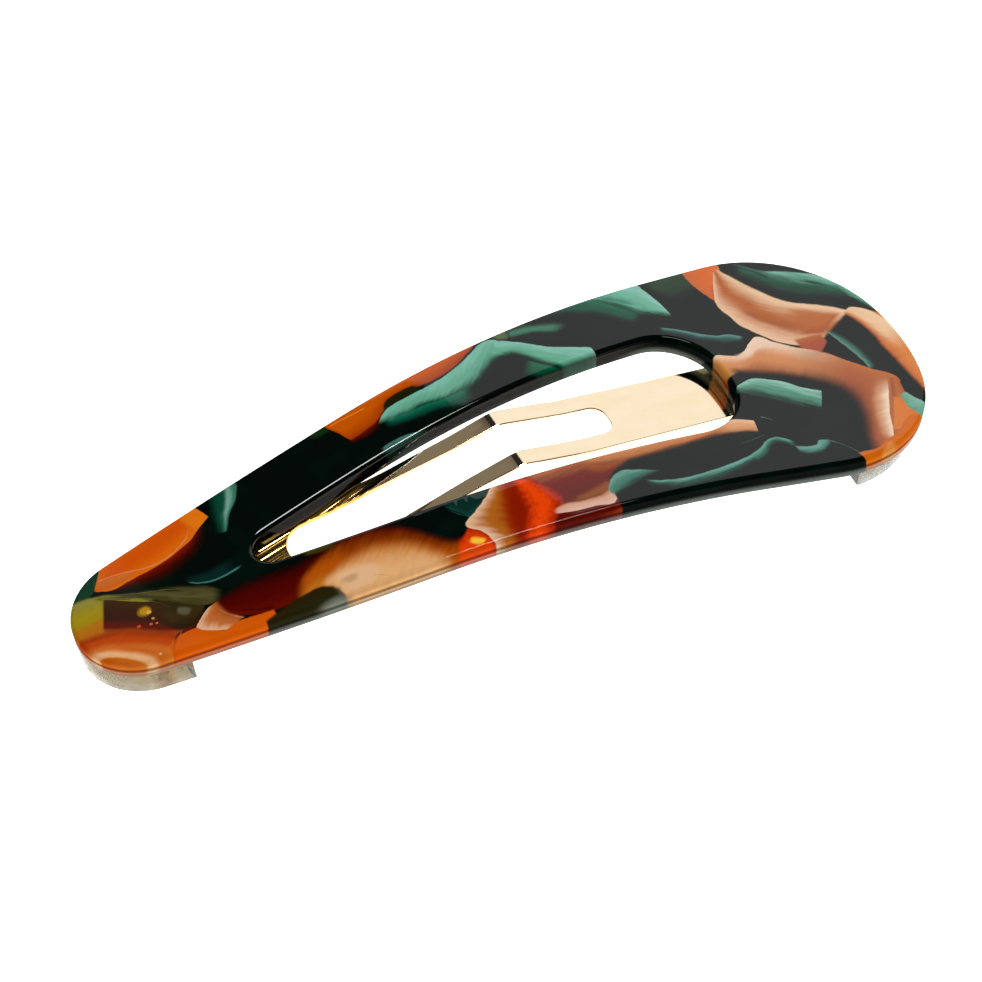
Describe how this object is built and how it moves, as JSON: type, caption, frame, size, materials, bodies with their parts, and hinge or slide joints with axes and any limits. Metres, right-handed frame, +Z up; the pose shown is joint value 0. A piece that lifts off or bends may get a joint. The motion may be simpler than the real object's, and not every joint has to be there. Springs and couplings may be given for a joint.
{
  "type": "snap hair clip",
  "caption": "Teardrop snap hair clip: bent marbled acetate plate with an open window, a gold sprung frame and tongue under it, and a clear pad under each end.",
  "frame": {"origin": "on the resting surface, under the middle of the clip's length and width", "axes": "+X along the length, from the narrow end to the wide end; +Y across the width; +Z up, through the plate's outer face"},
  "size_m": [0.0841, 0.029, 0.0097],
  "materials": {
    "acetate": "polished marbled acetate: near black green with orange, peach, red and mint flakes",
    "spring_metal": "spring steel with polished pale gold plating",
    "clear_pad": "clear polished acetate",
    "pin_metal": "plain yellow brass"
  },
  "bodies": {
    "clip": {"acetate_plate": "acetate", "spring_frame": "spring_metal", "narrow_pad": "clear_pad", "wide_pad": "clear_pad", "locating_pin": "pin_metal"},
    "tongue": {"spring_tongue": "spring_metal"}
  },
  "joints": [
    {"name": "tongue_snap", "type": "hinge", "parent": "clip", "child": "tongue", "pos_m": [-0.03021, 0, 0.00351], "axis": [0, 1, 0], "range_deg": [0, 20]}
  ]
}
